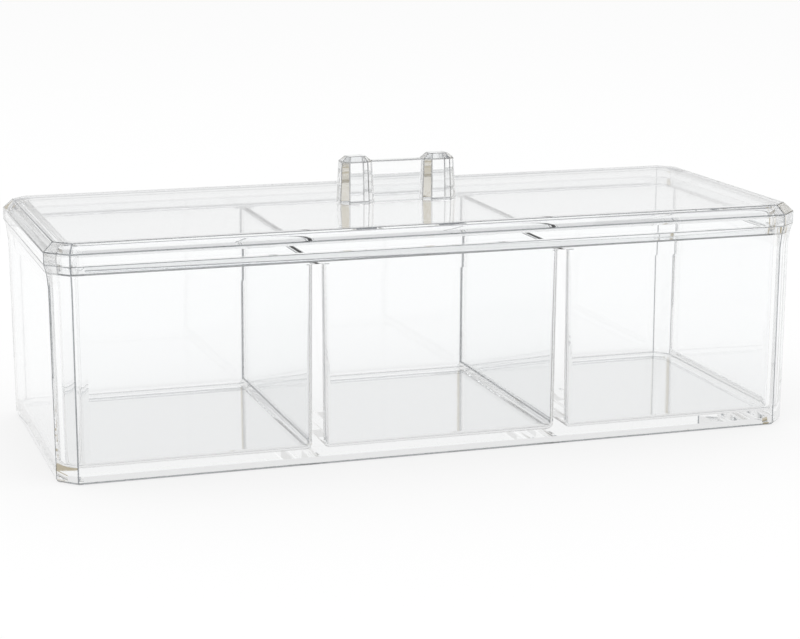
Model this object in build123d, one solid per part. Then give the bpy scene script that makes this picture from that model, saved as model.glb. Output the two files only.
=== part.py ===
"""Clear moulded box with three compartments for small cotton goods.

Three pieces, in millimetres: a one-piece tub with two dividers, a lift-off lid
with a locating lip, and a faceted handle bonded on top of the lid.
Frame: +X runs along the box, -Y is its front and +Z is up. The origin is the
middle of the footprint, on the table.
"""
import os
from math import atan, degrees, radians, sqrt, tan

from build123d import *

# ---- driving dimensions: the whole box ----
length = 240.0  # over the lid and over the rim of the tub
depth = 98.0
corner_cut = 6.6  # each leg of the 45 degree cut across a plan corner
draft = 0.5  # degrees, on the walls that slide out of the mould

# ---- tub ----
tub_height = 65.5  # table to the seam under the lid
wall = 2.5
floor_thickness = 2.8
foot_height = 1.8  # the base stands on a low ring
foot_width = 5.0
base_round = 1.2  # outer edge of the base
rim_height = 2.5  # sloped band under the seam
rim_slope = 0.7  # how far that band draws in
cove_height = 4.5  # gentler slope between the band and the wall
cove_slope = 0.5
divider_thickness = 2.7  # at the top; the draft makes it grow downward
divider_corner = 2.0  # upright rounding where a divider meets a long wall
floor_round = 2.0  # rounding between the floor and the walls

# ---- lid ----
lid_edge = 3.7  # upright edge above the seam
bevel_height = 2.8
bevel_width = 3.0
panel_thickness = 3.0
panel_round = 1.5  # inside rounding between the panel and its border
lip_depth = 3.0  # how far the lip reaches into the tub
lip_thickness = 2.0
lip_lead = 0.6  # lead-in on the lower outer edge of the lip
lip_clearance = 0.4  # lip to the tub's opening, all round
lip_over_divider = 0.5  # gap between the lip and the tops of the dividers

# ---- handle ----
post_spacing = 27.4  # centre to centre
post_width = 10.0  # along the box, at the shoulder
post_depth = 8.4
post_cut = 2.0  # corner cut of a post
post_height = 13.4  # lid to shoulder
post_draft = 2.7  # degrees
crown_height = 1.6  # facets above the shoulder
crown_width = 1.9
web_thickness = 3.0  # at the top of the plate between the posts
web_draft = 1.9  # degrees
web_round = 0.5

# ---- places worked out from the sizes above ----
SAME_HEIGHT = 0.001  # heights closer than this count as one
CUT_PER_INSET = 2 - sqrt(2)  # an outline drawn in by 1 mm has its corner cut shortened by this
flare = rim_slope + cove_slope
cove_z = tub_height - rim_height - cove_height
seam_z = tub_height
bevel_z = seam_z + lid_edge
lid_top_z = bevel_z + bevel_height
shoulder_z = lid_top_z + post_height
floor_z = foot_height + floor_thickness
divider_top_z = seam_z - lip_depth - lip_over_divider
opening_inset = flare + wall  # outline of the box to the tub's opening
pocket_length = (length - 2 * opening_inset - 2 * divider_thickness) / 3
# The opening's corner radius that leaves a full wall behind the flat corner cut.
opening_corner = ((corner_cut - flare * CUT_PER_INSET) / sqrt(2) - wall * (sqrt(2) - 1)) / (sqrt(2) - 1)


def draw_in(height, angle=draft):
    """How far a drafted face moves sideways over a height."""
    return height * tan(radians(angle))


def cut_rectangle(x_size, y_size, cut, inset):
    """A rectangle with corners cut at 45 degrees, drawn in evenly by an inset."""
    blank = Rectangle(x_size - 2 * inset, y_size - 2 * inset)
    return chamfer(blank.vertices(), cut - inset * CUT_PER_INSET)


def sloped_tier(x_size, y_size, cut, low, high):
    """A block with cut corners whose faces lean from one (z, inset) to another."""
    wide, narrow = sorted((low, high), key=lambda level: level[1])
    (z_wide, inset_wide), (z_narrow, inset_narrow) = wide, narrow
    rise = z_narrow - z_wide
    lean = degrees(atan((inset_narrow - inset_wide) / abs(rise)))
    outline = Pos(0, 0, z_wide) * cut_rectangle(x_size, y_size, cut, inset_wide)
    return extrude(outline, rise, taper=lean)


def tiers(x_size, y_size, cut, levels):
    """Sloped tiers standing on each other, from a list of (z, inset)."""
    stack = Part()
    for low, high in zip(levels, levels[1:]):
        stack += sloped_tier(x_size, y_size, cut, low, high)
    return stack


def opening_outline(z, inset=0.0):
    """The tub's rounded opening at a height, drawn in by the draft and an inset."""
    total = opening_inset + draw_in(seam_z - z) + inset
    outline = RectangleRounded(length - 2 * total, depth - 2 * total,
                               opening_corner - (total - opening_inset))
    return Pos(0, 0, z) * outline


def edges_at(solid, z):
    """The edges of a solid that lie flat at one height."""
    return solid.edges().filter_by_position(Axis.Z, z - SAME_HEIGHT, z + SAME_HEIGHT)


# ---- tub ----
def tub_outside():
    """Drafted walls, then the cove, then the sloped band of the rim."""
    foot_inset = flare + draw_in(cove_z)
    levels = [(0, foot_inset), (cove_z, flare), (seam_z - rim_height, rim_slope), (seam_z, 0)]
    body = tiers(length, depth, corner_cut, levels)
    return fillet(edges_at(body, 0), base_round)


def mouth():
    """The space above the dividers that the lip of the lid drops into."""
    return extrude(opening_outline(seam_z), divider_top_z - seam_z, taper=draft)


def pocket(place):
    """One compartment: place is 0 in the middle and -1 or 1 at an end."""
    middle = place * (pocket_length + divider_thickness)
    outline = opening_outline(divider_top_z) & Pos(middle, 0, divider_top_z) * Rectangle(pocket_length, depth)
    corners = outline.vertices().sort_by(Axis.X)
    beside_divider = {-1: corners[-2:], 0: corners, 1: corners[:2]}[place]
    outline = fillet(beside_divider, divider_corner)
    space = extrude(outline, floor_z - divider_top_z, taper=draft)
    return fillet(edges_at(space, floor_z), floor_round)


def foot_recess():
    """The shallow hollow under the floor, inside the ring the box stands on."""
    inset = flare + draw_in(cove_z) + foot_width
    return sloped_tier(length, depth, corner_cut, (0, inset), (foot_height, inset + draw_in(foot_height, 10)))


def tub():
    body = tub_outside() - mouth() - foot_recess()
    for place in (-1, 0, 1):
        body -= pocket(place)
    return body


# ---- lid ----
def lid():
    """A bevelled panel with a thick border and a lip that locates it in the tub."""
    slab = tiers(length, depth, corner_cut, [(seam_z, 0), (bevel_z, 0), (lid_top_z, bevel_width)])
    lip_z = seam_z - lip_depth
    lip = extrude(opening_outline(seam_z, lip_clearance), -lip_depth, taper=draft)
    lip = chamfer(edges_at(lip, lip_z), lip_lead)
    hollow_outline = opening_outline(lip_z, lip_clearance + lip_thickness)
    hollow = extrude(hollow_outline, lid_top_z - panel_thickness - lip_z, taper=draft)
    hollow = fillet(edges_at(hollow, lid_top_z - panel_thickness), panel_round)
    return slab + lip - hollow


# ---- handle ----
def post(side):
    """One post: leaning faces up to the shoulder, then a crown of facets."""
    levels = [(lid_top_z, -draw_in(post_height, post_draft)), (shoulder_z, 0),
              (shoulder_z + crown_height, crown_width)]
    return Pos(side * post_spacing / 2, 0, 0) * tiers(post_width, post_depth, post_cut, levels)


def web():
    """The plate between the posts, thinner upward, with its top edge rounded."""
    spread = draw_in(post_height, web_draft)
    foot = Rectangle(post_spacing + 2 * spread, web_thickness + 2 * spread)
    plate = extrude(Pos(0, 0, lid_top_z) * foot, post_height, taper=web_draft)
    return fillet(edges_at(plate, shoulder_z).filter_by(Axis.X), web_round)


def handle():
    return post(-1) + post(1) + web()


PIECES = {"tub": tub, "lid": lid, "handle": handle}

os.makedirs("parts", exist_ok=True)
for name, make in PIECES.items():
    piece = make()
    size = piece.bounding_box().size
    print(f"{name}: {len(piece.solids())} solid, {size.X:.1f} x {size.Y:.1f} x {size.Z:.1f} mm")
    export_step(piece, f"parts/{name}.step")
print(f"opening corner radius {opening_corner:.2f} mm, compartment length {pocket_length:.2f} mm")
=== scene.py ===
# %% [markdown]
# # A clear moulded box with a lift-off lid
#
# The object is a long, low box of clear hard plastic. Three mouldings make it:
# a tub whose two dividers are moulded in one piece with it, a flat lid with a
# bevelled border, and a small faceted handle bonded on top of the lid.
# The script builds each moulding the way a mould maker draws it, from a flat
# outline that is inset and pushed up or down, level by level.
# Then it gives the plastic its finish and sets up the white table, the soft
# lights and the camera.

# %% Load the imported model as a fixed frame
from math import pi, radians, sqrt, tan

import bmesh
import bpy
from mathutils import Matrix, Vector


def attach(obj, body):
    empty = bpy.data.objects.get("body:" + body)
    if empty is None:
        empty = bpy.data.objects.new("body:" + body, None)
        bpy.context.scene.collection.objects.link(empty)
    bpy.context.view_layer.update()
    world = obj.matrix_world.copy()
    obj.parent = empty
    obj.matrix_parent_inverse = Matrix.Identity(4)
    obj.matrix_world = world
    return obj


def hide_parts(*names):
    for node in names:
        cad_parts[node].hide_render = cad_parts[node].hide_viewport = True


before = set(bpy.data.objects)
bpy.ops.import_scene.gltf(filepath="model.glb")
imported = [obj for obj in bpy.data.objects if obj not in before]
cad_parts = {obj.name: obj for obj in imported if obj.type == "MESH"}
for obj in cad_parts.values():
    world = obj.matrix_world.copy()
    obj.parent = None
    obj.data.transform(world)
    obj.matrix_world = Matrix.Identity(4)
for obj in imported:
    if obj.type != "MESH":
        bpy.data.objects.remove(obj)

scene = bpy.context.scene
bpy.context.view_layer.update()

# %% [markdown]
# ## Where the camera stands
# The photograph looks down a little from the front left, through a long lens,
# so the edges that run away from us hardly draw together. A camera that is
# placed first lets every later step be compared with the photograph.
# Its place and its turn were fitted to the corners of the box, so the numbers
# are simply written down here.

# %% Camera
SENSOR = 36.0  # width in millimetres
FOCAL_PIXELS, PHOTO_WIDTH = 2180.6, 800
CAMERA_PLACE = (-0.21066, -0.66021, 0.18371)
TILTED_DOWN, TURNED_RIGHT = 0.21453, 0.31067  # in radians

camera_data = bpy.data.cameras.new("camera")
camera_data.sensor_width = SENSOR
camera_data.lens = SENSOR * FOCAL_PIXELS / PHOTO_WIDTH
camera_data.clip_start, camera_data.clip_end = 0.05, 50
camera = bpy.data.objects.new("camera", camera_data)
camera.location = CAMERA_PLACE
camera.rotation_euler = (pi / 2 - TILTED_DOWN, 0, -TURNED_RIGHT)
scene.collection.objects.link(camera)
scene.camera = camera
print(f"camera lens {camera_data.lens:.1f} mm, {camera.location.length:.2f} m from the origin")

# %% [markdown]
# ## The sizes
# All three mouldings share one outline and stand on each other, so their sizes
# belong together. They are written in millimetres, because a mould maker
# thinks in millimetres, and each mesh is scaled to metres once, at its end.

# %% Sizes of the tub, in millimetres
MM = 0.001
LENGTH, DEPTH, CORNER_CUT = 240.0, 98.0, 6.6
DRAFT, FOOT_DRAFT = 0.5, 10  # in degrees
SEAM_Z, WALL, FLOOR_Z = 65.5, 2.5, 4.6
FOOT_HEIGHT, FOOT_WIDTH, BASE_ROUND = 1.8, 5.0, 1.2
RIM_HEIGHT, RIM_SLOPE, COVE_HEIGHT, COVE_SLOPE = 2.5, 0.7, 4.5, 0.5
DIVIDER, DIVIDER_TOP_Z = 2.7, 62.0
FLOOR_ROUND, SEAM_ROUND, SEAM_GAP = 2.0, 0.1, 0.04

CUT_PER_INSET = 2 - sqrt(2)  # what a corner cut loses for each millimetre of inset
PAST_ROUND = sqrt(2) - 1  # how far a sharp corner stands beyond a round of radius 1
OPENING = RIM_SLOPE + COVE_SLOPE + WALL
POCKET = (LENGTH - 2 * OPENING - 2 * DIVIDER) / 3
OUTER_CUT = CORNER_CUT - (RIM_SLOPE + COVE_SLOPE) * CUT_PER_INSET
OPENING_ROUND = (OUTER_CUT / sqrt(2) - WALL * PAST_ROUND) / PAST_ROUND
OPENING_SEGMENTS = 9
print(f"wall inset at the opening {OPENING:.2f} mm, compartment {POCKET:.2f} mm long,",
      f"corner radius of the opening {OPENING_ROUND:.2f} mm")

# %% Sizes of the lid and the handle, in millimetres
LID_EDGE, BEVEL_HEIGHT, BEVEL_WIDTH, PANEL, PANEL_ROUND = 3.7, 2.8, 3.0, 3.0, 1.5
LIP_DEPTH, LIP_THICKNESS, LIP_LEAD, LIP_CLEARANCE = 3.0, 2.0, 0.6, 0.4
LIP_Z = SEAM_Z - LIP_DEPTH
TOP_Z = SEAM_Z + LID_EDGE + BEVEL_HEIGHT
PANEL_Z = TOP_Z - PANEL

POST_SPACING, POST_WIDTH, POST_DEPTH, POST_CUT = 27.4, 10.0, 8.4, 2.0
POST_HEIGHT, POST_DRAFT, CROWN_HEIGHT, CROWN_WIDTH = 13.4, 2.7, 1.6, 1.9
WEB_THICKNESS, WEB_DRAFT, WEB_ROUND = 3.0, 1.9, 0.5
SHOULDER_Z = TOP_Z + POST_HEIGHT
print(f"lid top at {TOP_Z:.1f} mm, handle top at {SHOULDER_Z + CROWN_HEIGHT:.1f} mm")


# %% [markdown]
# ## The first tools
# A moulding can be drawn as a stack of flat outlines. `outline` makes the
# first one: a single face, whose corners are bevelled off at 45 degrees in one
# segment, or rounded in several.
# `step` insets that face and moves the inner part along its normal, which
# adds one sloping band round it. Repeating `step` walks over the whole
# section of a wall. Extruding and scaling would do the same, but scaling
# draws a long outline in unevenly, and an inset keeps the wall's thickness.
# `close_seam` joins the two open loops that are left where the outside and
# the inside of a moulding meet.

# %% Outline and step
def lean(height, angle=DRAFT):
    """How far a face that leans by an angle moves sideways over a height."""
    return height * tan(radians(angle))


def outline(mesh, x_size, y_size, corner, z, segments=1, looks_down=False):
    """One flat face whose four corners are cut at 45 degrees or rounded."""
    place = Matrix.Translation((0, 0, z)) @ Matrix.Diagonal((x_size, y_size, 1, 1))
    grid = bmesh.ops.create_grid(mesh, x_segments=1, y_segments=1, size=0.5, matrix=place)
    bmesh.ops.bevel(mesh, geom=grid["verts"], affect="VERTICES", offset=corner,
                    segments=segments, profile=0.5, material=-1)
    face = next(face for face in mesh.faces if all(edge.is_boundary for edge in face.edges))
    if looks_down:
        bmesh.ops.reverse_faces(mesh, faces=[face])
    return face


def step(mesh, face, inset, rise):
    """Draws a flat face in evenly and lifts it along its normal."""
    bmesh.ops.inset_region(mesh, faces=[face], thickness=inset, depth=rise,
                           use_even_offset=True, use_boundary=True)
    return face


def close_seam(mesh):
    """Bridges the two open loops of a moulding with a flat land."""
    open_edges = [edge for edge in mesh.edges if edge.is_boundary]
    return bmesh.ops.bridge_loops(mesh, edges=open_edges)["faces"]


trial = bmesh.new()
band = step(trial, outline(trial, LENGTH, DEPTH, CORNER_CUT, 0), 3, 2)
print("outline corners:", len(band.verts), "| after a step of 3 in and 2 up:",
      [round(value, 2) for value in band.verts[0].co], "| faces", len(trial.faces))
trial.free()

# %% [markdown]
# A mould is never perfectly sharp. Every edge of the real box carries a tiny
# round that catches the light as a bright or dark line, and on clear plastic
# these lines are nearly all that one sees. `soften` bevels the sharp edges by
# a quarter of a millimetre and marks the new faces in an attribute called
# edge, which the plastic's material reads later to darken them: a painted
# shade that draws the dark lines, in place of the dark room these rounds would
# bend into view. A bevel modifier could round the same edges, but it couldn't
# mark them with a value of their own.

# %% Rounding edges and marking them for painted shade
EXACT = 0.01


def sharp_edges(mesh, least=25.0):
    """Edges between two faces that turn by more than some degrees."""
    return [edge for edge in mesh.edges if len(edge.link_faces) == 2
            and edge.calc_face_angle(0) > radians(least)]


def lies_at(edge, z):
    """Whether an edge lies flat at a height."""
    return all(abs(corner.co.z - z) < EXACT for corner in edge.verts)


def round_off(mesh, edges, radius, segments):
    """Bevels some edges to a radius and returns the new faces."""
    return bmesh.ops.bevel(mesh, geom=edges, affect="EDGES", offset=radius,
                           segments=segments, profile=0.5, material=-1)["faces"]


def start_mesh():
    """An empty bmesh whose faces can carry the mark called edge, which sets their painted edge
    shade.
    """
    mesh = bmesh.new()
    mesh.faces.layers.float.new("edge")
    return mesh


def paint_edge_shade(mesh, faces, strength=1.0):
    """Writes how much painted edge shade some faces get, from 0 to 1."""
    mark = mesh.faces.layers.float["edge"]
    for face in faces:
        face[mark] = max(face[mark], strength)


def soften(mesh, edges, size=0.25, segments=2):
    """Rounds edges a little and marks the rounds for painted edge shade."""
    rounds = round_off(mesh, edges, size, segments)
    paint_edge_shade(mesh, rounds)
    widest = max(min(edge.calc_length() for edge in face.edges) for face in rounds)
    return f"{len(rounds)}, each up to {widest:.2f} mm wide"


trial = start_mesh()
step(trial, outline(trial, LENGTH, DEPTH, CORNER_CUT, 0), 0, WALL)
print("edges of a plain slab:", len(sharp_edges(trial)),
      "| rounds when softened:", soften(trial, sharp_edges(trial)))
trial.free()

# %% [markdown]
# Shading needs a decision too. Rounds look round only when light is
# interpolated over their narrow faces, but the same setting makes a large flat
# face ripple, and on a mirror-like plastic even half a degree shows as a smear.
# So `finish_piece` shades each face by its width: the strips of a round are
# smooth, and the walls and facets stay flat.

# %% Turning a bmesh into a finished piece
FLAT_WIDTH = 1.4
SHARP_TURN = 30.0  # in degrees
SAME_POINT = 0.0005


def finish_piece(mesh, name, body):
    """Scales to metres, points the faces outwards and hangs the piece on its body."""
    bmesh.ops.remove_doubles(mesh, verts=mesh.verts, dist=SAME_POINT)
    bmesh.ops.recalc_face_normals(mesh, faces=mesh.faces)
    for edge in sharp_edges(mesh, SHARP_TURN):
        edge.smooth = False
    for face in mesh.faces:
        longest = max(edge.calc_length() for edge in face.edges)
        face.smooth = face.calc_area() < FLAT_WIDTH * longest
    open_edges = sum(1 for edge in mesh.edges if len(edge.link_faces) != 2)
    volume = mesh.calc_volume()
    bmesh.ops.scale(mesh, vec=(MM, MM, MM), verts=mesh.verts)
    data = bpy.data.meshes.new(name)
    mesh.to_mesh(data)
    mesh.free()
    piece = bpy.data.objects.new(name, data)
    scene.collection.objects.link(piece)
    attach(piece, body)
    print(f"{name}: {len(data.polygons)} faces, {open_edges} open edges, {volume / 1000:.1f} cm3")
    return piece


print(f"flat shading above {FLAT_WIDTH} mm of width, sharp edges above {SHARP_TURN:.0f} degrees")

# %% [markdown]
# A flat face also has to be divided: the opening of the tub into compartments
# and dividers, and the top of the lid where the handle stands on it. A cut
# along a plane leaves parts that stay flat and share their edges, where a
# boolean could leave slivers.

# %% Cutting a flat face
def centre(face):
    """The middle of a face."""
    return face.calc_center_median()


def cut_faces(mesh, faces, point, normal):
    """Cuts some faces along a plane and returns all their parts."""
    geometry = {part for face in faces for part in (face, *face.edges, *face.verts)}
    made = bmesh.ops.bisect_plane(mesh, geom=list(geometry), plane_co=point, plane_no=normal)
    return [part for part in made["geom"] if isinstance(part, bmesh.types.BMFace)]


def keep_behind(mesh, face, planes):
    """Cuts a face along planes in turn and returns the part behind them all."""
    for point, normal in planes:
        face = next(part for part in cut_faces(mesh, [face], point, normal)
                    if (centre(part) - Vector(point)).dot(Vector(normal)) < 0)
    return face


def front_and_back(half_width):
    """Two upright planes, as far in front of the middle as behind it."""
    return [((0, way * half_width, 0), (0, way, 0)) for way in (-1, 1)]


trial = bmesh.new()
sheet = outline(trial, LENGTH, DEPTH, CORNER_CUT, 0)
kept = keep_behind(trial, sheet, front_and_back(WALL))
print(f"strip cut out of a sheet: {kept.calc_area() / LENGTH:.1f} mm wide,",
      f"{len(trial.faces)} faces in all")
trial.free()

# %% [markdown]
# ## The tub
# The tub is one injection moulding. Its walls lean in by half a degree so that
# it leaves the mould, they swell through a short cove into a thicker rim, and
# the four upright corners are cut flat. Inside are three compartments.
# Two outlines are made at the seam. One has cut corners, looks down and walks
# over the outside to the foot ring. The other has round corners, looks up and
# walks into the opening, where it is cut into five strips: three become
# compartments and two stay as the tops of the dividers.
# The corner radius is such that the wall is as thick behind the cut corners as
# anywhere else, because uneven walls sink in and warp as the plastic cools.

# %% Outside of the tub
tub = start_mesh()
outside = outline(tub, LENGTH, DEPTH, CORNER_CUT, SEAM_Z, looks_down=True)
cove_z = SEAM_Z - RIM_HEIGHT - COVE_HEIGHT
step(tub, outside, RIM_SLOPE, RIM_HEIGHT)
step(tub, outside, COVE_SLOPE, COVE_HEIGHT)
step(tub, outside, lean(cove_z), cove_z)
step(tub, outside, FOOT_WIDTH, 0)
step(tub, outside, lean(FOOT_HEIGHT, FOOT_DRAFT), -FOOT_HEIGHT)
print("underside of the floor at", round(centre(outside).z, 2), "mm")

# %% Opening and compartments
opening = outline(tub, LENGTH - 2 * OPENING, DEPTH - 2 * OPENING, OPENING_ROUND, SEAM_Z,
                  segments=OPENING_SEGMENTS)
mouth = SEAM_Z - DIVIDER_TOP_Z
step(tub, opening, lean(mouth), -mouth)
strips = [opening]
for x in (side * (POCKET / 2 + gap) for side in (-1, 1) for gap in (0, DIVIDER)):
    strips = cut_faces(tub, strips, (x, 0, 0), (1, 0, 0))
strips.sort(key=lambda face: centre(face).x)
compartment = DIVIDER_TOP_Z - FLOOR_Z
for face in strips[::2]:
    step(tub, face, lean(compartment), -compartment)
print("strips:", len(strips), "| floor at", round(centre(strips[0]).z, 2), "mm")
print("faces of the land at the seam:", len(close_seam(tub)))
bmesh.ops.recalc_face_normals(tub, faces=tub.faces)

# %% [markdown]
# The edges are rounded from large to small, so that a small round runs out
# cleanly into a large one. Molten plastic flows badly round a sharp inner
# corner, so the floors and the corners beside the dividers get 2 mm. The upright
# strips that face along the box are marked for the painted edge shade, which
# draws them as dark lines. The foot comes next, and then every outer edge that
# is still sharp. The crease under the rim turns by less than ten degrees and
# shows as a softer line than a true edge, so its painted shade is held back.

# %% Inner rounds of the tub
SQUARE_TURN = 60.0  # in degrees: finds the edges that turn by about a right angle
SLACK = 0.1
LEAST_ALONG, MOST_UP = 0.8, 0.2  # shares of the normal of an upright strip that faces along the box


def beside_divider(edge):
    """Whether an edge stands on a floor where a divider meets a long wall."""
    low, high = edge.verts
    run = (low.co.xy - high.co.xy).length
    bottom, top = sorted((low.co.z, high.co.z))
    return (top - bottom > 3 * run and bottom < FLOOR_Z + SLACK
            and top < DIVIDER_TOP_Z + SLACK and abs(low.co.x) < POCKET)


hollow_edges = [edge for edge in sharp_edges(tub, SQUARE_TURN)
                if lies_at(edge, FLOOR_Z) or beside_divider(edge)]
print("edges round the floors and beside the dividers:", len(hollow_edges))
hollows = round_off(tub, hollow_edges, FLOOR_ROUND, segments=5)
upright_strips = [face for face in hollows if abs(face.normal.x) > LEAST_ALONG
                  and abs(face.normal.z) < MOST_UP and abs(centre(face).x) < POCKET]
# These strips get the painted edge shade, a darker colour that stands in for shade.
paint_edge_shade(tub, upright_strips)
print("marked as edge:", len(upright_strips), "strips beside the dividers")

# %% Outer rounds of the tub
CREASE_SHADE, CREASE_REACH = 0.6, 0.3

foot = [edge for edge in sharp_edges(tub, SQUARE_TURN) if lies_at(edge, 0)
        and any(centre(face).z > FLOOR_Z for face in edge.link_faces)]
print("edges of the foot:", len(foot))
round_off(tub, foot, BASE_ROUND, segments=3)
crease_z = SEAM_Z - RIM_HEIGHT
crease = [edge for edge in tub.edges if lies_at(edge, crease_z)]
corners = [edge for edge in sharp_edges(tub) if edge.is_convex
           and not lies_at(edge, SEAM_Z) and not lies_at(edge, crease_z)]
print("softened:", soften(tub, crease + corners))
mark = tub.faces.layers.float["edge"]
# The painted edge shade on the faces along the crease is lowered to a lighter value.
for face in tub.faces:
    if abs(centre(face).z - crease_z) < CREASE_REACH:
        face[mark] = min(face[mark], CREASE_SHADE)
seam = [edge for edge in sharp_edges(tub) if lies_at(edge, SEAM_Z)]
print("softened at the seam:", soften(tub, seam, SEAM_ROUND, segments=1))
tub_piece = finish_piece(tub, "clear_tub", "tub")
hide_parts("tub")

# %% [markdown]
# ## The lid
# The lid is a second moulding: a flat panel inside a thick border that is
# bevelled all round, with a lip underneath that drops into the tub and keeps
# the lid from sliding. Its section is walked over the same way, with one copy
# of the outline looking up and one looking down.
# It starts a hair above the seam. The real lid rests on the rim, but two clear
# faces in one plane leave it to chance which one a ray of light meets first.

# %% Lid
lid = start_mesh()
seam_z = SEAM_Z + SEAM_GAP
top = outline(lid, LENGTH, DEPTH, CORNER_CUT, seam_z)
step(lid, top, 0, LID_EDGE - SEAM_GAP)
step(lid, top, BEVEL_WIDTH, BEVEL_HEIGHT)

lip_inset = OPENING + LIP_CLEARANCE
under = outline(lid, LENGTH - 2 * lip_inset, DEPTH - 2 * lip_inset, OPENING_ROUND - LIP_CLEARANCE,
                seam_z, segments=OPENING_SEGMENTS, looks_down=True)
step(lid, under, lean(LIP_DEPTH), LIP_DEPTH + SEAM_GAP)
step(lid, under, LIP_THICKNESS, 0)
step(lid, under, lean(PANEL_Z - LIP_Z), LIP_Z - PANEL_Z)
print("top at", round(centre(top).z, 2), "mm, panel underside at", round(centre(under).z, 2), "mm")
print("faces round the lip at the seam:", len(close_seam(lid)))
bmesh.ops.recalc_face_normals(lid, faces=lid.faces)

# %% Rounds of the lid
lead = [edge for edge in sharp_edges(lid, SQUARE_TURN) if lies_at(edge, LIP_Z)
        and any(LIP_Z < centre(face).z < SEAM_Z for face in edge.link_faces)]
print("edges of the lip's lead-in:", len(lead))
# The lead-in rounds get a faint painted edge shade.
paint_edge_shade(lid, round_off(lid, lead, LIP_LEAD, segments=1), strength=0.3)
panel_edge = [edge for edge in sharp_edges(lid, SQUARE_TURN) if lies_at(edge, PANEL_Z)]
round_off(lid, panel_edge, PANEL_ROUND, segments=4)
corners = [edge for edge in sharp_edges(lid) if edge.is_convex and not lies_at(edge, seam_z)]
print("softened:", soften(lid, corners))
seam = [edge for edge in sharp_edges(lid) if edge.is_convex and lies_at(edge, seam_z)]
print("softened at the seam:", soften(lid, seam, SEAM_ROUND, segments=1))

# %% [markdown]
# The handle is bonded to the lid, so the place where it stands isn't a surface
# of either any more. The outline of its foot is cut into the lid's top, which
# is split in the middle and beside each post first, so that every part that
# is kept is a plain shape with no dent. These faces go to a second material
# slot, and the finish in that slot is made further down.

# %% Footprint of the handle on the lid
FACING = 0.9  # the least share of a normal along an axis for a face that looks that way
GLUED = 1  # the material slot of a glued face

post_spread = lean(POST_HEIGHT, POST_DRAFT)
half_x, half_y = POST_WIDTH / 2 + post_spread, POST_DEPTH / 2 + post_spread
base_cut = POST_CUT + post_spread * CUT_PER_INSET
web_half = WEB_THICKNESS / 2 + lean(POST_HEIGHT, WEB_DRAFT)

lid_top = max((face for face in lid.faces if face.normal.z > FACING),
              key=lambda face: face.calc_area())
halves = sorted(cut_faces(lid, [lid_top], (0, 0, 0), (1, 0, 0)), key=lambda face: centre(face).x)
glued = []
for side, half in zip((-1, 1), halves):
    middle = side * POST_SPACING / 2
    near, far = sorted(cut_faces(lid, [half], (middle - side * half_x, 0, 0), (1, 0, 0)),
                       key=lambda face: abs(centre(face).x))
    post_walls = front_and_back(half_y) + [((middle + side * half_x, 0, 0), (side, 0, 0))]
    post_walls += [((middle + turn * (half_x - base_cut), way * half_y, 0), (turn, way, 0))
                   for turn in (-1, 1) for way in (-1, 1)]
    glued.append(keep_behind(lid, near, front_and_back(web_half)))
    glued.append(keep_behind(lid, far, post_walls))
for face in glued:
    face.material_index = GLUED
print("glued faces:", len(glued), "area", [round(face.calc_area(), 1) for face in glued], "mm2")
lid_piece = finish_piece(lid, "clear_lid", "lid")
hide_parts("lid")

# %% [markdown]
# ## The handle
# The handle is a third moulding, bonded to the lid: two stout posts with
# faceted crowns and a thin plate between them. Only its left half is modelled.
# The post is stepped up like the others, its inner face is cut by two planes,
# and the strip between them is pulled to the middle to make half the plate.
# A mirror makes the other half, so that both posts are alike.

# %% Post of the handle
handle = start_mesh()
crown = outline(handle, 2 * half_x, 2 * half_y, base_cut, TOP_Z)
twin = bmesh.ops.duplicate(handle, geom=[crown, *crown.edges, *crown.verts])["geom"]
base = next(item for item in twin if isinstance(item, bmesh.types.BMFace))
bmesh.ops.reverse_faces(handle, faces=[base])
step(handle, crown, post_spread, POST_HEIGHT)
step(handle, crown, CROWN_WIDTH, CROWN_HEIGHT)
bmesh.ops.remove_doubles(handle, verts=handle.verts, dist=SAME_POINT)
bmesh.ops.translate(handle, vec=(-POST_SPACING / 2, 0, 0), verts=handle.verts)
handle.normal_update()
print("post:", len(handle.faces), "faces, crown", round(centre(crown).z - TOP_Z, 1), "mm up")

# %% Plate between the posts
inner = max((face for face in handle.faces if face.normal.x > FACING),
            key=lambda face: face.calc_area())
sides = [((0, way * WEB_THICKNESS / 2, SHOULDER_Z), (0, way, tan(radians(WEB_DRAFT))))
         for way in (-1, 1)]
strip = keep_behind(handle, inner, sides)
width_at_foot = 2 * max(corner.co.y for corner in strip.verts)
print("width of the plate at its foot:", round(width_at_foot, 2), "mm")

pulled = bmesh.ops.extrude_face_region(handle, geom=[strip])["geom"]
for corner in (item for item in pulled if isinstance(item, bmesh.types.BMVert)):
    corner.co.x = 0
cap = [item for item in pulled if isinstance(item, bmesh.types.BMFace)]
bmesh.ops.delete(handle, geom=cap + [strip] * strip.is_valid, context="FACES_ONLY")
bmesh.ops.mirror(handle, geom=handle.verts[:] + handle.edges[:] + handle.faces[:],
                 matrix=Matrix.Identity(4), merge_dist=SAME_POINT, axis="X")
bmesh.ops.remove_doubles(handle, verts=handle.verts, dist=SAME_POINT)
bmesh.ops.recalc_face_normals(handle, faces=handle.faces)
print("handle faces before rounding:", len(handle.faces))

# %% Rounds of the handle
ridge = [edge for edge in sharp_edges(handle) if lies_at(edge, SHOULDER_Z)
         and all(abs(abs(corner.co.y) - WEB_THICKNESS / 2) < EXACT for corner in edge.verts)]
print("edges along the plate's top:", len(ridge))
# The rounds along the plate's top get a faint painted edge shade.
paint_edge_shade(handle, round_off(handle, ridge, WEB_ROUND, segments=3), strength=0.25)
corners = [edge for edge in sharp_edges(handle) if edge.is_convex and not lies_at(edge, TOP_Z)]
print("softened:", soften(handle, corners))
for face in handle.faces:
    if face.normal.z < -FACING and centre(face).z < TOP_Z + SLACK:
        face.material_index = GLUED
handle_piece = finish_piece(handle, "clear_handle", "lid")
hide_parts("handle")
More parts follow.
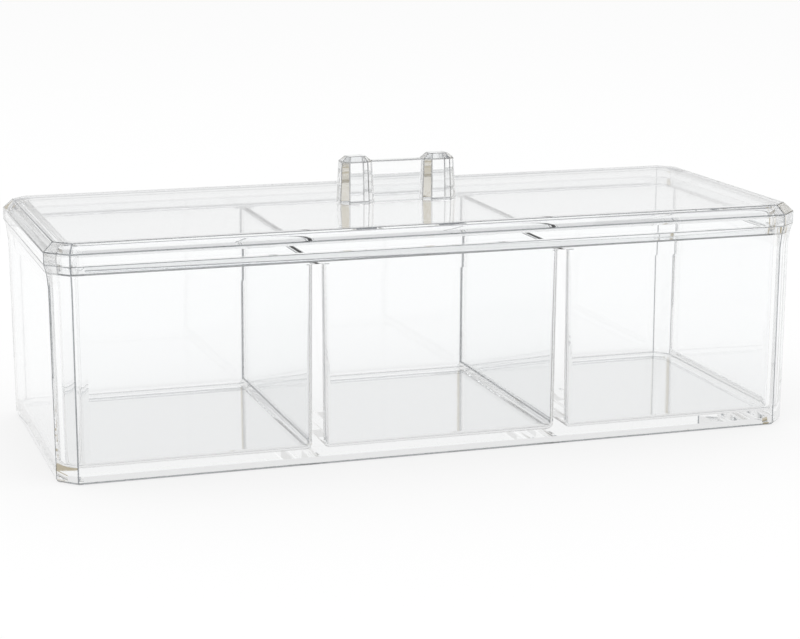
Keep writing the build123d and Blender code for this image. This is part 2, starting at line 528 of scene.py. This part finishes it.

# %% [markdown]
# ## The plastic
# The box is clear polystyrene, polished by the mould. It has almost no colour
# of its own. What one sees are its edges, the bent light behind them and the
# reflections on the flats. The finish is a fully transmitting surface with a
# refractive index of 1.59. The mould and the hand leave a faint unevenness:
# the flow of the melt bends reflections very slightly, and fine wear dulls the
# polish in small patches.
# These effects and the painted shade of the marked edges are used by all three
# mouldings, so they live in a shader group that puts out a colour with the edge shade, a roughness
# and a height.

# %% Shader group for the moulded plastic, with its painted edge shade
def new_group(name, inputs, outputs):
    """An empty shader group with named sockets, and its two end nodes."""
    group = bpy.data.node_groups.new(name, "ShaderNodeTree")
    for label, kind, value in inputs:
        socket = group.interface.new_socket(label, in_out="INPUT", socket_type=kind)
        socket.default_value = value
    for label, kind in outputs:
        group.interface.new_socket(label, in_out="OUTPUT", socket_type=kind)
    return group, group.nodes.new("NodeGroupInput"), group.nodes.new("NodeGroupOutput")


# The input for the edge shade is the colour painted as shade on the marked edges.
moulded, given, wanted = new_group(
    "moulded surface and edge shade",
    [("Clear", "NodeSocketColor", (1, 1, 1, 1)), ("Edge shade", "NodeSocketColor", (0.8, 0.85, 0.88, 1)),
     ("Flow scale", "NodeSocketFloat", 30.0), ("Wear scale", "NodeSocketFloat", 400.0),
     ("Polish", "NodeSocketFloat", 0.0), ("Worn", "NodeSocketFloat", 0.06)],
    [("Tint", "NodeSocketColor"), ("Roughness", "NodeSocketFloat"), ("Height", "NodeSocketFloat")])
print("group:", moulded.name, "with inputs", ", ".join(given.outputs.keys()[:-1]))

# %% Painted shade of the edges
nodes, links = moulded.nodes, moulded.links
edge_shade_mark = nodes.new("ShaderNodeAttribute")
edge_shade_mark.attribute_name = "edge"
painted_edge_shade = nodes.new("ShaderNodeMix")
painted_edge_shade.data_type = "RGBA"
links.new(edge_shade_mark.outputs["Fac"], painted_edge_shade.inputs["Factor"])
links.new(given.outputs["Clear"], painted_edge_shade.inputs["A"])
links.new(given.outputs["Edge shade"], painted_edge_shade.inputs["B"])
links.new(painted_edge_shade.outputs["Result"], wanted.inputs["Tint"])
print("the tint follows the attribute", edge_shade_mark.attribute_name)

# %% Flow marks and wear
WEAR_STARTS, WEAR_IS_FULL = 0.45, 0.75

where = nodes.new("ShaderNodeTexCoord")
flow, wear = nodes.new("ShaderNodeTexNoise"), nodes.new("ShaderNodeTexNoise")
for noise, scale, detail in ((flow, "Flow scale", 1.0), (wear, "Wear scale", 3.0)):
    noise.inputs["Detail"].default_value = detail
    links.new(where.outputs["Object"], noise.inputs["Vector"])
    links.new(given.outputs[scale], noise.inputs["Scale"])
links.new(flow.outputs["Fac"], wanted.inputs["Height"])

worn_part = nodes.new("ShaderNodeMapRange")
worn_part.inputs["From Min"].default_value = WEAR_STARTS
worn_part.inputs["From Max"].default_value = WEAR_IS_FULL
links.new(wear.outputs["Fac"], worn_part.inputs["Value"])
links.new(given.outputs["Polish"], worn_part.inputs["To Min"])
links.new(given.outputs["Worn"], worn_part.inputs["To Max"])
links.new(worn_part.outputs["Result"], wanted.inputs["Roughness"])
print("group:", moulded.name, "with", len(nodes), "nodes")

# %% [markdown]
# Light that falls through the box should reach the table almost unhindered.
# A path tracer can't find lamps through refracting walls, so the box would
# throw a black shadow. The usual remedy is taken: for shadow rays the surface
# is a plain transparent one that takes away a little light at each wall.

# %% Clear plastic
REFRACTION = 1.59
MOULD_POLISH, WORN_ROUGHNESS = 0.0, 0.05
FLOW_STRENGTH, FLOW_DISTANCE = 0.04, 0.0005
LIGHT_PASSED = 0.985


def empty_material(name):
    """A material with no node in it yet."""
    material = bpy.data.materials.new(name)
    material.use_nodes = True
    material.node_tree.nodes.clear()
    return material


def mixed_output(tree, kind, share, first, second):
    """Ends a tree in a mix: the second shader by its share, the first by the rest."""
    mix = tree.nodes.new("ShaderNodeMixShader")
    result = tree.nodes.new(kind)
    tree.links.new(share, mix.inputs["Fac"])
    tree.links.new(first, mix.inputs[1])
    tree.links.new(second, mix.inputs[2])
    tree.links.new(mix.outputs["Shader"], result.inputs["Surface"])


def clear_plastic(name, clear, edge, flow_scale):
    """Transmitting plastic with faint flow marks, slight wear and edges darkened by painted shade.
    """
    material = empty_material(name)
    nodes, links = material.node_tree.nodes, material.node_tree.links
    surface = nodes.new("ShaderNodeGroup")
    surface.node_tree = moulded
    # The argument edge is the colour of the painted shade on the marked edges.
    for label, value in (("Clear", (*clear, 1)), ("Edge shade", (*edge, 1)), ("Flow scale", flow_scale),
                         ("Polish", MOULD_POLISH), ("Worn", WORN_ROUGHNESS)):
        surface.inputs[label].default_value = value
    bump = nodes.new("ShaderNodeBump")
    bump.inputs["Strength"].default_value = FLOW_STRENGTH
    bump.inputs["Distance"].default_value = FLOW_DISTANCE
    plastic = nodes.new("ShaderNodeBsdfPrincipled")
    plastic.inputs["Transmission Weight"].default_value = 1.0
    plastic.inputs["IOR"].default_value = REFRACTION
    plastic.inputs["Metallic"].default_value = 0.0
    links.new(surface.outputs["Tint"], plastic.inputs["Base Color"])
    links.new(surface.outputs["Roughness"], plastic.inputs["Roughness"])
    links.new(surface.outputs["Height"], bump.inputs["Height"])
    links.new(bump.outputs["Normal"], plastic.inputs["Normal"])
    through = nodes.new("ShaderNodeBsdfTransparent")
    through.inputs["Color"].default_value = (LIGHT_PASSED, LIGHT_PASSED, LIGHT_PASSED, 1)
    shadow_ray = nodes.new("ShaderNodeLightPath").outputs["Is Shadow Ray"]
    mixed_output(material.node_tree, "ShaderNodeOutputMaterial", shadow_ray,
                 plastic.outputs["BSDF"], through.outputs["BSDF"])
    return material


# Each row: the piece, its clear colour, the colour of the painted shade on its edges, and the scale
# of its flow marks.
for piece, clear, edge, flow_scale in (
        (tub_piece, (0.985, 0.99, 0.992), (0.13, 0.14, 0.15), 35.0),
        (lid_piece, (0.985, 0.99, 0.992), (0.16, 0.17, 0.18), 28.0),
        (handle_piece, (0.98, 0.985, 0.985), (0.30, 0.30, 0.30), 60.0)):
    finish = clear_plastic(piece.name + "_plastic", clear, edge, flow_scale)
    piece.data.materials.append(finish)
    print("finish:", finish.name)

# %% [markdown]
# The handle is glued to the lid with a solvent that melts the two together, so
# no surface is left between them and light goes straight through. The faces
# that touch get a second finish that lets everything pass unbent.

# %% Glued joint
joint = bpy.data.materials.new("glued_joint")
joint.use_nodes = True
joint.node_tree.nodes["Principled BSDF"].inputs["Alpha"].default_value = 0.0
for piece in (lid_piece, handle_piece):
    piece.data.materials.append(joint)
print("joint faces:", [sum(face.material_index == GLUED for face in piece.data.polygons)
                       for piece in (lid_piece, handle_piece)])

# %% [markdown]
# ## The table and the light
# The photograph has a pure white ground that runs up into a white background.
# One large floor does both: for the camera, and for what is seen through or
# reflected in the plastic, most of it glows white and the rest is a plain
# white surface that keeps the soft shadow of the box.

# %% Floor
FLOOR_SIZE = 12.0  # in metres

floor_mesh = bmesh.new()
bmesh.ops.create_grid(floor_mesh, x_segments=1, y_segments=1, size=FLOOR_SIZE / 2)
floor_data = bpy.data.meshes.new("floor")
floor_mesh.to_mesh(floor_data)
floor_mesh.free()
floor = bpy.data.objects.new("floor", floor_data)
scene.collection.objects.link(floor)
print("floor:", [round(size, 1) for size in floor.dimensions])

# %% White table
TABLE_TONE, GLOW_SHARE = 0.95, 0.75


def maths(tree, operation, first, second):
    """The output of one Math node; each input is a socket or a number."""
    node = tree.nodes.new("ShaderNodeMath")
    node.operation = operation
    for socket, value in zip(node.inputs, (first, second)):
        if isinstance(value, bpy.types.NodeSocket):
            tree.links.new(value, socket)
        else:
            socket.default_value = value
    return node.outputs["Value"]


def seen_directly(tree):
    """One for rays that carry the picture: camera, mirror and glass rays."""
    ray = tree.nodes.new("ShaderNodeLightPath").outputs
    either = maths(tree, "MAXIMUM", ray["Is Camera Ray"], ray["Is Glossy Ray"])
    return maths(tree, "MAXIMUM", either, ray["Is Transmission Ray"])


table = empty_material("white_table")
matt = table.node_tree.nodes.new("ShaderNodeBsdfDiffuse")
matt.inputs["Color"].default_value = (TABLE_TONE, TABLE_TONE, TABLE_TONE, 1)
glow = table.node_tree.nodes.new("ShaderNodeEmission")
glow_share = maths(table.node_tree, "MULTIPLY", seen_directly(table.node_tree), GLOW_SHARE)
mixed_output(table.node_tree, "ShaderNodeOutputMaterial", glow_share,
             matt.outputs["BSDF"], glow.outputs["Emission"])
floor_data.materials.append(table)
print("floor finish:", table.name, "glows by", GLOW_SHARE)

# %% [markdown]
# A clear object in an evenly white room would vanish. A photographer keeps the
# ground and the backdrop white and lets the room above stay dark, so that the
# edges, which gather light from high up, draw dark lines. The world does the
# same: it is white at the horizon and grey overhead, a pale board stands
# behind the table, and a warm grey card to the right of it tones the facets of
# the handle. Planes of emitting mesh could do this too, but they would show in
# other views and throw light of their own. In the world they are only masks.
# The camera itself sees only white behind the table, from every side.

# %% World: white at the horizon and grey overhead
# Each tone belongs to a height of the direction: 0 is level and 1 is straight up.
ROOM_TONES = ((0.03, (1.00, 1.00, 1.00)), (0.12, (0.88, 0.88, 0.88)),
              (0.24, (0.80, 0.80, 0.80)), (0.45, (0.50, 0.48, 0.45)),
              (0.62, (0.18, 0.19, 0.21)), (1.00, (0.45, 0.46, 0.48)))

world = bpy.data.worlds.new("studio")
scene.world = world
world.use_nodes = True
studio = world.node_tree
studio.nodes.clear()
direction = studio.nodes.new("ShaderNodeTexCoord").outputs["Generated"]
towards = studio.nodes.new("ShaderNodeSeparateXYZ")
studio.links.new(direction, towards.inputs["Vector"])
room = studio.nodes.new("ShaderNodeValToRGB")
for level, _ in ROOM_TONES[1:-1]:
    room.color_ramp.elements.new(level)
for stop, (level, tone) in zip(room.color_ramp.elements, ROOM_TONES):
    stop.position, stop.color = level, (*tone, 1)
studio.links.new(towards.outputs["Z"], room.inputs["Fac"])
print("tones of the room at", [round(stop.position, 2) for stop in room.color_ramp.elements])


# %% Pale board behind the table
def fade(value, off, full):
    """A mask that rises smoothly from 0 at one value to 1 at another."""
    node = studio.nodes.new("ShaderNodeMapRange")
    node.interpolation_type = "SMOOTHSTEP"
    node.inputs["From Min"].default_value = off
    node.inputs["From Max"].default_value = full
    studio.links.new(value, node.inputs["Value"])
    return node.outputs["Result"]


def between(value, low, high):
    """A mask between two soft edges, each given as where it is off and full."""
    return maths(studio, "MULTIPLY", fade(value, *low), fade(value, *high))


def laid_over(under, tone, mask):
    """A colour laid over another where the mask is 1."""
    node = studio.nodes.new("ShaderNodeMix")
    node.data_type = "RGBA"
    studio.links.new(mask, node.inputs["Factor"])
    studio.links.new(under, node.inputs["A"])
    node.inputs["B"].default_value = (*tone, 1)
    return node.outputs["Result"]


# The board's edges are slopes of a direction: metres across or up for each metre ahead.
BOARD_LEFT, BOARD_RIGHT = (-0.15, 0.0), (1.0, 0.8)
BOARD_BOTTOM, BOARD_TOP = (0.19, 0.23), (0.62, 0.5)
BOARD_TONE = (0.92, 0.92, 0.92)
LEAST_AHEAD = 0.05

ahead = maths(studio, "MAXIMUM", towards.outputs["Y"], LEAST_AHEAD)
across = maths(studio, "DIVIDE", towards.outputs["X"], ahead)
upward = maths(studio, "DIVIDE", towards.outputs["Z"], ahead)
board = maths(studio, "MULTIPLY", between(across, BOARD_LEFT, BOARD_RIGHT),
              between(upward, BOARD_BOTTOM, BOARD_TOP))
with_board = laid_over(room.outputs["Color"], BOARD_TONE, board)
print("board from", BOARD_LEFT[0], "to", BOARD_RIGHT[0], "across and from",
      BOARD_BOTTOM[0], "to", BOARD_TOP[0], "up")

# %% Warm grey card to the right
CARD_DIRECTION, CARD_EDGE = (0.806, 0.523, 0.276), (0.93, 0.97)
CARD_TONE = (0.40, 0.34, 0.22)

facing_card = studio.nodes.new("ShaderNodeVectorMath")
facing_card.operation = "DOT_PRODUCT"
facing_card.inputs[1].default_value = CARD_DIRECTION
studio.links.new(direction, facing_card.inputs[0])
card = fade(facing_card.outputs["Value"], *CARD_EDGE)
with_card = laid_over(with_board, CARD_TONE, card)
print("card towards", CARD_DIRECTION)

# %% What each kind of ray sees of the world
SOFT_TONE = (0.9, 0.9, 0.9, 1)

camera_ray = studio.nodes.new("ShaderNodeLightPath").outputs["Is Camera Ray"]
surroundings = studio.nodes.new("ShaderNodeBackground")
studio.links.new(laid_over(with_card, (1, 1, 1), camera_ray), surroundings.inputs["Color"])
soft = studio.nodes.new("ShaderNodeBackground")
soft.inputs["Color"].default_value = SOFT_TONE
mixed_output(studio, "ShaderNodeOutputWorld", seen_directly(studio),
             soft.outputs["Background"], surroundings.outputs["Background"])
print("world:", world.name, "with", len(studio.nodes), "nodes")

# %% [markdown]
# Two large lamps are enough, because the world already lights the box from all
# around. One hangs over the table and one stands at the front left, and they
# give their own bright shapes in the dark part of the reflections.

# %% Soft lights
def soft_light(name, place, target, width, height, power):
    """A rectangular lamp at one place that is turned towards another."""
    data = bpy.data.lights.new(name, "AREA")
    data.shape = "RECTANGLE"
    data.size, data.size_y, data.energy = width, height, power
    light = bpy.data.objects.new(name, data)
    light.location = place
    aim = Vector(target) - Vector(place)
    light.rotation_euler = aim.to_track_quat("-Z", "Y").to_euler()
    scene.collection.objects.link(light)
    print(f"light {name}: {power} W, {width} x {height} m")


soft_light("overhead", (0.1, 0.2, 1.3), (0, 0, 0), 1.2, 0.8, 3)
soft_light("front left", (-1.0, -1.0, 1.0), (0, 0, 0.03), 0.5, 0.9, 3)

# %% [markdown]
# Light can run a long way inside a clear wall before it leaves it. When it is
# given up too early, the place stays black: with 24 to 32 bounces the front
# left corner had a black column. So many more are allowed, which costs little,
# because few rays need them. Caustics are off, since they would only add
# noise to the shadow.

# %% How far light is followed
BOUNCES, CLEAR_LAYERS = 96, 32

scene.cycles.max_bounces = BOUNCES
scene.cycles.transmission_bounces = BOUNCES
scene.cycles.glossy_bounces = BOUNCES
scene.cycles.transparent_max_bounces = CLEAR_LAYERS
scene.cycles.caustics_reflective = False
scene.cycles.caustics_refractive = False
scene.view_settings.view_transform = "Standard"
print("bounces:", BOUNCES, "| view transform:", scene.view_settings.view_transform)
